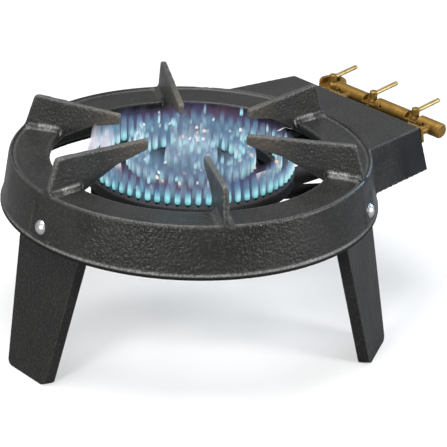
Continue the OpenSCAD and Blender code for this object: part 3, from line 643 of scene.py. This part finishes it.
def mark(mesh, **values):
    """Keeps arrays of one value a point on a mesh, each as an attribute of its own name."""
    for label, array in values.items():
        mesh.attributes.new(label, "FLOAT", "POINT").data.foreach_set("value", array.astype(np.float32))


print("helpers for meshes: read, modified, new_piece, mark")

# %% Remeshed and relaxed
VOXEL = 1.3 * MM
ROUNDS = 6           # of relaxing; "hollow" takes four times as many more


def neighbour_mean(values, edges):
    """Mean of each point's neighbours, for an array of one row a point."""
    one, two = edges[:, 0], edges[:, 1]
    count = np.bincount(edges.ravel(), minlength=len(values))
    total = [np.bincount(one, column[two], len(values)) + np.bincount(two, column[one], len(values))
             for column in values.T]
    return np.stack(total, -1) / count[:, None]


def relaxed(points, edges, rounds):
    """The points after moving half way to their neighbours' mean, a number of times."""
    for _ in range(rounds):
        points = points + 0.5 * (neighbour_mean(points, edges) - points)
    return points


def soft_mesh(name, source):
    """A remeshed and relaxed copy of a CAD piece, its points, and its relief and hollow in mm.

    Both are movements along the normal: (after - before) . normal.
    """
    merged = source.data.copy()
    build = bmesh.new()
    build.from_mesh(merged)
    bmesh.ops.remove_doubles(build, verts=build.verts, dist=0.001 * MM)
    build.to_mesh(merged)
    build.free()
    made = modified(name, merged, "REMESH", mode="VOXEL", voxel_size=VOXEL)

    edges = read(made.edges, "vertices", 2, np.int32)
    before = read(made.vertices, "co", 3).astype(float)
    after = relaxed(before, edges, ROUNDS)
    made.vertices.foreach_set("co", after.astype(np.float32).ravel())
    made.update()
    out = read(made.vertex_normals, "vector", 3)
    relief = ((after - before) * out).sum(1, keepdims=True) / MM
    hollow = ((relaxed(after, edges, 4 * ROUNDS) - after) * out).sum(1, keepdims=True) / MM
    for _ in range(4):
        relief = neighbour_mean(relief, edges)
    print(f"{name}: {len(made.polygons)} faces, relief {relief.min():.2f} to {relief.max():.2f} mm, "
          f"hollows to {hollow.max():.2f} mm")
    return made, after, relief[:, 0], hollow[:, 0]


# %% Thinned, with its marks
TRIANGLES = 180000


def cast_copy(name, source):
    """The soft mesh of a CAD piece, thinned; each point left takes the marks of the nearest old one."""
    soft, points, relief, hollow = soft_mesh(name, source)
    thin = modified(name, soft, "DECIMATE", ratio=TRIANGLES / (2 * len(soft.polygons)))
    finder = KDTree(len(points))
    for i, point in enumerate(points):
        finder.insert(point, i)
    finder.balance()
    nearest = np.array([finder.find(vertex.co)[1] for vertex in thin.vertices])
    mark(thin, relief=relief[nearest], hollow=hollow[nearest])
    piece = new_piece(name, thin, CASTING)
    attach(piece, "base")
    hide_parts(source.name)
    print(f"{name}: thinned to {len(thin.polygons)} faces")


cast_copy("cast_body", NODES["body_casting"])

# %% [markdown]
# ## Fire
#
# Each port feeds a short blue finger of flame, blunt at the foot, bright at a third of its height and
# gone at the tip. Each row stands in a haze, a thin curtain that is blue low down and violet above.
# Over the caps drift short wisps and a few sparks. A volume would look right only with many samples and
# is lost in an export, so fingers and curtains are closed surfaces that give light and are see-through.
#
# They are computed as arrays, ports by levels by sides. Two values kept on their points drive the
# material: "along" runs from 0 at the foot to 1 at the tip, and "pale" says how far a flame is bleached,
# as where the rows of the inner burners crowd together, or where a draught fans the outer one.

# %% Tongues from arrays


def closed_piece(name, rings, foot, tip, pale, finish):
    """Closed tongues as one piece, from an array of rings of points (tongues, levels, sides, 3).

    foot and tip are the points that close each tongue. The attribute "along" rises evenly with the
    level, and "pale" is one value a tongue.
    """
    tongues, levels, sides = rings.shape[:3]
    points = np.concatenate([rings.reshape(-1, 3), foot, tip])
    k = np.arange(sides)
    beside = (k + 1) % sides
    first = (np.arange(tongues) * levels * sides)[:, None, None] + (np.arange(levels - 1) * sides)[:, None]
    quads = np.stack([first + k, first + beside, first + sides + beside, first + sides + k], -1)
    low = (np.arange(tongues) * levels * sides)[:, None]
    high = low + (levels - 1) * sides
    below = tongues * levels * sides + np.arange(tongues)[:, None] + 0 * k
    fans = np.concatenate([np.stack([below, low + beside, low + k], -1).reshape(-1, 3),
                           np.stack([below + tongues, high + k, high + beside], -1).reshape(-1, 3)])
    mesh = bpy.data.meshes.new(name)
    mesh.from_pydata(points.tolist(), [], quads.reshape(-1, 4).tolist() + fans.tolist())
    t = np.repeat(np.linspace(0.0, 1.0, levels + 2)[1:-1], sides)
    mark(mesh, along=np.concatenate([np.tile(t, tongues), np.zeros(tongues), np.ones(tongues)]),
         pale=np.concatenate([np.repeat(pale, levels * sides), pale, pale]))
    return new_piece(name, mesh, finish)


SIDES = 8
LEVELS = 9


def fingers(name, turns, ring_r, base_z, height, width, sway, pale, finish):
    """One upright finger for each angle in turns, blunt below and narrower above.

    t runs from 0 to 1 along a finger. Its radius is width * (1 - (2 t - 1) ^ 6) ^ 0.5 * (1 - 0.3 t).
    Its axis rises by height * t from base_z at ring_r, and drifts along the ring by sway * t ^ 2.
    """
    ring_r, base_z = (np.broadcast_to(value, turns.shape)[:, None, None] for value in (ring_r, base_z))
    t = np.linspace(0.0, 1.0, LEVELS + 2)[None, 1:-1, None]
    side = np.arange(SIDES) * 2 * np.pi / SIDES
    radius = width[:, None, None] * np.sqrt(1 - (2 * t - 1) ** 6) * (1 - 0.3 * t)
    c, s = np.cos(turns)[:, None, None], np.sin(turns)[:, None, None]

    def turned(out, across, up):
        """Points from distances out from the axis, along the ring and up."""
        return np.stack(np.broadcast_arrays(out * c - across * s, out * s + across * c, up), -1)

    drift = sway[:, None, None]
    rise = height[:, None, None]
    rings = turned(ring_r + radius * np.cos(side), drift * t ** 2 + radius * np.sin(side),
                   base_z + rise * t)
    foot = turned(ring_r, 0 * drift, base_z)[:, 0, 0]
    tip = turned(ring_r, drift, base_z + rise)[:, 0, 0]
    return closed_piece(name, rings, foot, tip, pale, finish)


print(f"a finger has {LEVELS * SIDES + 2} points")

# %% [markdown]
# ## Haze
#
# Between the fingers burnt gas glows faintly. Many soft fingers would do, but a single curtain round the
# ring has no seams and costs a few thousand faces. Its streaks come from the material, and a few sines,
# each a whole number of waves round the ring, keep its top and its radius from being too even.

# %% Curtains of haze
RNG = np.random.default_rng(7)
CURTAIN_SIDES = 256
CURTAIN_LEVELS = 9


def curtain(name, ring_r, base_z, height, thick, pale, finish):
    """A thin closed ring of haze round the axis, uneven in height and radius.

    Its section is a lens: at height t it reaches thick * (t (1 - t)) ^ 0.5 to either side of ring_r. Its
    radius waves by under a millimetre and its height by about a tenth. pale is a function of the angle.
    """
    turn = np.arange(CURTAIN_SIDES) * 2 * np.pi / CURTAIN_SIDES
    phase = RNG.uniform(0, 2 * np.pi, 4)
    wave = sum(np.sin(k * turn + phase[i]) / (i + 1.5) for i, k in enumerate((5, 11, 23, 37)))
    rise = height * (1 + 0.13 * wave)
    t = 0.5 - 0.5 * np.cos(np.linspace(0, np.pi, CURTAIN_LEVELS))
    loop = np.concatenate([t, t[-2:0:-1]])
    side = np.concatenate([np.ones(CURTAIN_LEVELS), -np.ones(CURTAIN_LEVELS - 2)])
    reach = ring_r + 0.5 * wave[:, None] * MM + side * thick * np.sqrt(loop * (1 - loop))
    points = np.stack([reach * np.cos(turn)[:, None], reach * np.sin(turn)[:, None],
                       base_z + rise[:, None] * loop], -1).reshape(-1, 3)
    around = len(loop)
    here = np.arange(CURTAIN_SIDES)[:, None] * around
    after = np.roll(here, -1, 0)
    k = np.arange(around)
    up = (k + 1) % around
    faces = np.stack([here + k, after + k, after + up, here + up], -1).reshape(-1, 4)
    mesh = bpy.data.meshes.new(name)
    mesh.from_pydata(points.tolist(), [], faces.tolist())
    mark(mesh, along=np.tile(loop, CURTAIN_SIDES), pale=np.repeat(pale(turn), around))
    return new_piece(name, mesh, finish)


print(f"a curtain has {CURTAIN_SIDES * (2 * CURTAIN_LEVELS - 2)} points")

# %% [markdown]
# ## The colours of flame
#
# A flame has no skin, so its shader neither reflects nor scatters: it only gives light, by Emission
# Color, and fades by Alpha. Colour ramps along each finger hold its palette: a teal foot, a pale cyan
# heart and a violet tip. A second and a third palette, both paler, take over as "pale" rises to 1 and
# to 2. Noise that is stretched upwards flickers in the alpha, so that neighbours differ.

# %% Flame material: fingers
# Each stop is a height, 0 at the foot and 1 at the tip, and a colour.
BLUE = [(0.0, (0.02, 0.16, 0.20)), (0.10, (0.12, 0.50, 0.56)), (0.32, (0.38, 0.84, 0.90)),
        (0.55, (0.26, 0.60, 0.72)), (0.8, (0.14, 0.25, 0.46)), (1.0, (0.10, 0.08, 0.22))]
CYAN_WHITE = [(0.0, (0.08, 0.34, 0.40)), (0.2, (0.58, 0.92, 0.98)), (0.5, (0.56, 0.80, 0.90)),
              (0.75, (0.30, 0.38, 0.56)), (1.0, (0.16, 0.16, 0.28))]
LILAC_WHITE = [(0.0, (0.35, 0.50, 0.58)), (0.3, (0.80, 0.82, 0.90)), (0.8, (0.62, 0.56, 0.68)),
               (1.0, (0.40, 0.32, 0.42))]


def glow_only(shader):
    """A shader that gives light and shows no surface."""
    shader.inputs["Base Color"].default_value = (0.0, 0.0, 0.0, 1)
    shader.inputs["Roughness"].default_value = 1.0
    shader.inputs["Specular IOR Level"].default_value = 0.0
    shader.inputs["Emission Strength"].default_value = 1.0


def stretched(tree, upright):
    """Places squeezed in height, which draws a noise out into upright streaks."""
    return node(tree, "ShaderNodeMapping", {"Vector": place(tree), "Scale": (1.0, 1.0, upright)}).outputs[0]


def make_finger():
    """Teal foot, pale cyan heart, blue then violet tip; "pale" moves all of it towards lilac white."""
    made, tree, shader = new_material("flame_finger")
    along, pale = attribute(tree, "along"), attribute(tree, "pale")
    cover = ramp(tree, along, [(0.0, 0.85), (0.4, 0.92), (0.6, 0.66), (0.85, 0.25), (1.0, 0.0)])
    flicker = span(tree, noise(tree, 260.0, vector=stretched(tree, 0.18)), 0.3, 0.7, 0.7, 1.15)
    blue, white, lilac = (ramp(tree, along, palette) for palette in (BLUE, CYAN_WHITE, LILAC_WHITE))
    colour = mix(tree, span(tree, pale, 0.0, 1.0), blue, white)
    tree.links.new(mix(tree, span(tree, pale, 1.0, 2.0), colour, lilac), shader.inputs["Emission Color"])
    tree.links.new(maths(tree, "MULTIPLY", cover, flicker, clamp=True), shader.inputs["Alpha"])
    glow_only(shader)
    return told(made)


FINGER = make_finger()

# %% Flame materials: haze and sparks
COLD = [(0.0, (0.02, 0.10, 0.14)), (0.35, (0.07, 0.12, 0.23)), (1.0, (0.09, 0.06, 0.16))]
WARM = [(0.0, (0.03, 0.09, 0.12)), (0.4, (0.12, 0.09, 0.17)), (1.0, (0.13, 0.06, 0.09))]


def make_haze():
    """Dark blue low down and violet above, in upright streaks that come and go along the ring."""
    made, tree, shader = new_material("flame_haze")
    along, pale = attribute(tree, "along"), attribute(tree, "pale")
    rows = noise(tree, 130.0, 3.0, 0.6, stretched(tree, 0.12))
    cover = ramp(tree, along, [(0.0, 0.0), (0.1, 0.62), (0.45, 0.52), (0.75, 0.25), (1.0, 0.0)])
    cold, warm = (ramp(tree, along, palette) for palette in (COLD, WARM))
    colour = mix(tree, span(tree, noise(tree, 38.0), 0.4, 0.6), cold, warm)
    colour = mix(tree, span(tree, pale, 0.0, 1.0), colour, (0.17, 0.34, 0.46))
    colour = mix(tree, span(tree, pale, 0.7, 1.3), colour, (0.74, 0.73, 0.84))
    tree.links.new(colour, shader.inputs["Emission Color"])
    cover = product(tree, cover, span(tree, pale, 0.7, 1.5, 1.0, 1.5))
    tree.links.new(maths(tree, "MULTIPLY", cover, span(tree, rows, 0.3, 0.65, 0.45, 1.25), clamp=True),
                   shader.inputs["Alpha"])
    glow_only(shader)
    return told(made)


def make_spark():
    """White to orange grains of burning dust."""
    made, tree, shader = new_material("flame_spark")
    tint = span(tree, noise(tree, 25.0, 1.0), 0.36, 0.46)
    tree.links.new(mix(tree, tint, (1.0, 0.62, 0.45), (0.92, 0.92, 1.0)), shader.inputs["Emission Color"])
    cover = ramp(tree, attribute(tree, "along"), [(0.0, 0.4), (0.5, 0.95), (1.0, 0.2)])
    tree.links.new(cover, shader.inputs["Alpha"])
    glow_only(shader)
    return told(made)


HAZE = make_haze()
SPARK = make_spark()

# %% [markdown]
# ## Lighting the burners
#
# A ring burner has a row of ports on its outer chamfer and one on its inner, and the smallest has only
# the outer. Every row gets its fingers and a curtain. The middle and inner burners, which crowd
# together, get one more curtain over the middle of the cap, and many wisps.

# %% Ports, draught and loose flames
PORT_Z = CAP_TOP - PORT_DROP
DRAUGHT = radians(136)       # the side where the draught bleaches the outer flames
DRAUGHT_W = 0.42             # and how wide it is, in radians


def row_of_turns(cap_r):
    """The angles of the ports on one chamfer of a cap, at the same pitch on every ring."""
    count = int(2 * np.pi * cap_r / PORT_PITCH + 0.01)
    return 2 * np.pi * (np.arange(count) + 0.5) / count


def bleached(base, amount):
    """Paleness by angle: base, and amount more round DRAUGHT and a third of that opposite."""
    def near(turn, middle):
        return np.exp(-(np.angle(np.exp(1j * (turn - middle))) / DRAUGHT_W) ** 2)
    return lambda turn: base + amount * (near(turn, DRAUGHT) + near(turn, DRAUGHT + np.pi) / 3)


def loose(name, count, ring_r, height, tall, lift, slim, finish):
    """Short tongues scattered over a cap; tall, lift and slim are ranges, and lift counts in heights."""
    over = ring_r - RNG.uniform(0.2, 0.8, count) * RING_W
    tall = RNG.uniform(*tall, count)
    base = CAP_TOP + RNG.uniform(*lift, count) * height
    slim = RNG.uniform(*slim, count) * MM
    turns = RNG.uniform(0, 2 * np.pi, count)
    sway = RNG.uniform(-1.5, 1.5, count) * MM
    return fingers(name, turns, over, base, tall, slim, sway, RNG.uniform(0.3, 1.0, count), finish)


print(f"{len(row_of_turns(OUTER_R))} ports on the outermost row")

# %% Flames on each burner ring
FINGER_W = 3.3 * MM


def light(burner, rows, height, pale, draught, wisps, sparks, crowded=True):
    """The fingers, curtains, wisps and sparks of a burner ring.

    rows holds the radius of each chamfer, and 1 where the ports face outwards or -1 inwards.
    """
    made = []
    paleness = bleached(pale, draught)
    for k, (cap_r, side) in enumerate(rows):
        turns = row_of_turns(cap_r)
        n = len(turns)
        port_r = cap_r - side * PORT_IN
        made.append(fingers(
            f"{burner}_fingers_{k}", turns, port_r, PORT_Z, height * RNG.uniform(0.85, 1.15, n),
            FINGER_W * RNG.uniform(0.92, 1.08, n), RNG.uniform(-1.2, 1.2, n) * MM,
            RNG.normal(paleness(turns), 0.12), FINGER))
        made.append(curtain(f"{burner}_haze_{k}", port_r, PORT_Z, 1.4 * height, 3.2 * MM,
                            bleached(0.6 * pale, 0.6 * draught), HAZE))
    edge_r = rows[0][0]
    if crowded:
        made.append(curtain(f"{burner}_haze", edge_r - RING_W / 2, CAP_TOP, 1.4 * height, 4 * MM,
                            bleached(1.2 * pale, 0.3 * draught), HAZE))
    made.append(loose(f"{burner}_wisps", wisps, edge_r, height, (0.35 * height, 0.8 * height), (0.1, 0.9),
                      (1.2, 2.4), FINGER))
    made.append(loose(f"{burner}_sparks", sparks, edge_r, height, (3.0 * MM, 4.6 * MM), (0.3, 1.3),
                      (1.1, 2.1), SPARK))
    for piece in made:
        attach(piece, "base")
        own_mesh(piece)
    print(f"{burner} burner lit: {len(rows)} rows, {len(made)} pieces of flame")


light("outer", [(OUTER_R, 1), (OUTER_R - RING_W, -1)], height=21 * MM, pale=0.10, draught=2.6,
      wisps=24, sparks=14, crowded=False)
light("middle", [(MIDDLE_R, 1), (MIDDLE_R - RING_W, -1)], height=22 * MM, pale=0.55, draught=0.5,
      wisps=90, sparks=26)
light("inner", [(INNER_R, 1)], height=24 * MM, pale=0.75, draught=0.2, wisps=44, sparks=14)

# %% [markdown]
# ## Floor and background
#
# The floor is plain and pale, and the background is white. Light Path tells what kind of ray is asking.
# The camera, and rays through the flames, see a white floor and a white room, of which part is glow, so
# that the stand's shadow stays soft. Other rays see a darker floor and a grey room, so all that white
# puts no light on the stand. Gloss sees a share of the white: enough for brass and zinc to mirror a
# pale room, and so little that the enamel, which reflects far more light than it scatters, stays black.
# Beyond the valve box the floor that the stand is lit by is bluer, which cools that side of the ring.

# %% Floor
GLOSS_SHARE = 0.12     # of the white background, seen by glossy rays
GLOW_SHARE = 0.4       # of the floor's white that no shadow darkens
FLOOR_HALF = 6.0


def shown(tree):
    """How much of the white background a ray sees: all of it from the camera and through a surface."""
    rays = node(tree, "ShaderNodeLightPath").outputs
    straight = maths(tree, "ADD", rays["Is Camera Ray"], rays["Is Transmission Ray"])
    return maths(tree, "ADD", straight, product(tree, rays["Is Glossy Ray"], GLOSS_SHARE), clamp=True)


def make_floor():
    """A wide level sheet under the feet, pale to the camera and matt to the light."""
    mesh = bpy.data.meshes.new("floor")
    corners = [(x * FLOOR_HALF, y * FLOOR_HALF, 0.0) for x, y in ((-1, -1), (1, -1), (1, 1), (-1, 1))]
    mesh.from_pydata(corners, [], [(0, 1, 2, 3)])
    floor = bpy.data.objects.new("floor", mesh)
    bpy.context.scene.collection.objects.link(floor)
    made, tree, shader = new_material("floor_white")
    shader.inputs["Roughness"].default_value = 1.0
    shader.inputs["Specular IOR Level"].default_value = 0.0
    glow = node(tree, "ShaderNodeEmission", {"Color": (1, 1, 1, 1), "Strength": 1.0})
    seen = shown(tree)
    beyond = span(tree, split(tree, place(tree))["X"], 0.5, 0.8)
    unseen = mix(tree, beyond, 0.19, (0.05, 0.08, 0.13))
    tree.links.new(mix(tree, seen, unseen, 0.88), shader.inputs["Base Color"])
    both = node(tree, "ShaderNodeMixShader", {0: product(tree, seen, GLOW_SHARE)})
    tree.links.new(shader.outputs["BSDF"], both.inputs[1])
    tree.links.new(glow.outputs["Emission"], both.inputs[2])
    tree.links.new(both.outputs["Shader"], tree.nodes["Material Output"].inputs["Surface"])
    mesh.materials.append(told(made))


def make_world():
    """A grey surround for the light, and plain white where the camera looks past the floor."""
    world = bpy.data.worlds.new("studio")
    world.use_nodes = True
    tree = world.node_tree
    colour = mix(tree, shown(tree), (0.25, 0.25, 0.26), (1.0, 1.0, 1.0))
    tree.links.new(colour, tree.nodes["Background"].inputs["Color"])
    bpy.context.scene.world = told(world)


make_floor()
make_world()

# %% [markdown]
# ## Lamps
#
# One large soft box overhead lights the decks and the tops of the claws. It would leave the wall flat,
# because nothing shines along it, so three smaller boxes stand low round the stand: at a grazing height
# the dimples of the enamel each catch a spot of light, which is what makes it look hammered. The one at
# the right is blue, as daylight from a window is. A weak cyan point lamp over the caps stands for the
# light of the fire, which the flames' own glow is too faint and noisy to give.

# %% Lamps
AIM = (0.05, 0.0, 0.15)


def soft_box(name, at, size, power, colour=(1.0, 1.0, 1.0)):
    """A square lamp at a point, turned to the aim."""
    lamp = bpy.data.lights.new(name, "AREA")
    lamp.size, lamp.energy, lamp.color = size, power, colour
    made = bpy.data.objects.new(name, lamp)
    made.location = at
    made.rotation_euler = (Vector(AIM) - Vector(at)).to_track_quat("-Z", "Y").to_euler()
    bpy.context.scene.collection.objects.link(made)
    print(f"{name}: {power:.0f} W, {size:.1f} m wide")


def round_about(turn, height_angle, distance=2.2):
    """A point at a compass angle and a height angle, in degrees, at a distance from the aim."""
    a, e = radians(turn), radians(height_angle)
    way = np.array([np.cos(a) * np.cos(e), np.sin(a) * np.cos(e), np.sin(e)])
    return tuple(np.array(AIM) + distance * way)


def fire_lamp():
    """A small cyan point lamp over the caps."""
    glow = bpy.data.lights.new("fire_light", "POINT")
    glow.energy, glow.color, glow.shadow_soft_size = 0.09, (0.25, 0.8, 1.0), 0.05
    made = bpy.data.objects.new("fire_light", glow)
    made.location = (0.0, 0.0, CAP_TOP + 20 * MM)
    bpy.context.scene.collection.objects.link(made)


soft_box("overhead", (-0.2, 0.2, 2.3), 1.6, 56.0)
soft_box("left", round_about(195, 18), 0.6, 29.0)
soft_box("front_right", round_about(298, 18), 0.6, 34.0)
soft_box("cool_right", round_about(5, 20), 0.7, 13.0, (0.40, 0.68, 1.0))
fire_lamp()

# %% [markdown]
# ## Camera
#
# The camera stands about two metres off, at the height of a worktop, and looks down on the stand with
# a long lens, which keeps the legs nearly parallel. A constraint could aim it, but three turns in a row,
# heading, dip and roll, say exactly where it looks and leave nothing to work out later.

# %% Camera
EYE = (-1.2560, -1.4317, 0.9860)
HEADING, DIP, ROLL = radians(42.35), radians(24.69), radians(2.28)
FOCAL_PIXELS, FRAME_PIXELS, SENSOR = 2000.0, 447.0, 36.0

lens = bpy.data.cameras.new("camera")
lens.sensor_width = SENSOR
lens.lens = FOCAL_PIXELS / FRAME_PIXELS * SENSOR
camera = bpy.data.objects.new("camera", lens)
camera.matrix_world = (Matrix.Translation(EYE) @ Matrix.Rotation(-HEADING, 4, "Z")
                       @ Matrix.Rotation(radians(90) - DIP, 4, "X") @ Matrix.Rotation(ROLL, 4, "Z"))
bpy.context.scene.collection.objects.link(camera)
bpy.context.scene.camera = camera
bpy.context.scene.view_settings.view_transform = "Standard"
print(f"lens {lens.lens:.0f} mm, {(Vector(EYE) - Vector(AIM)).length:.2f} m from the stand")
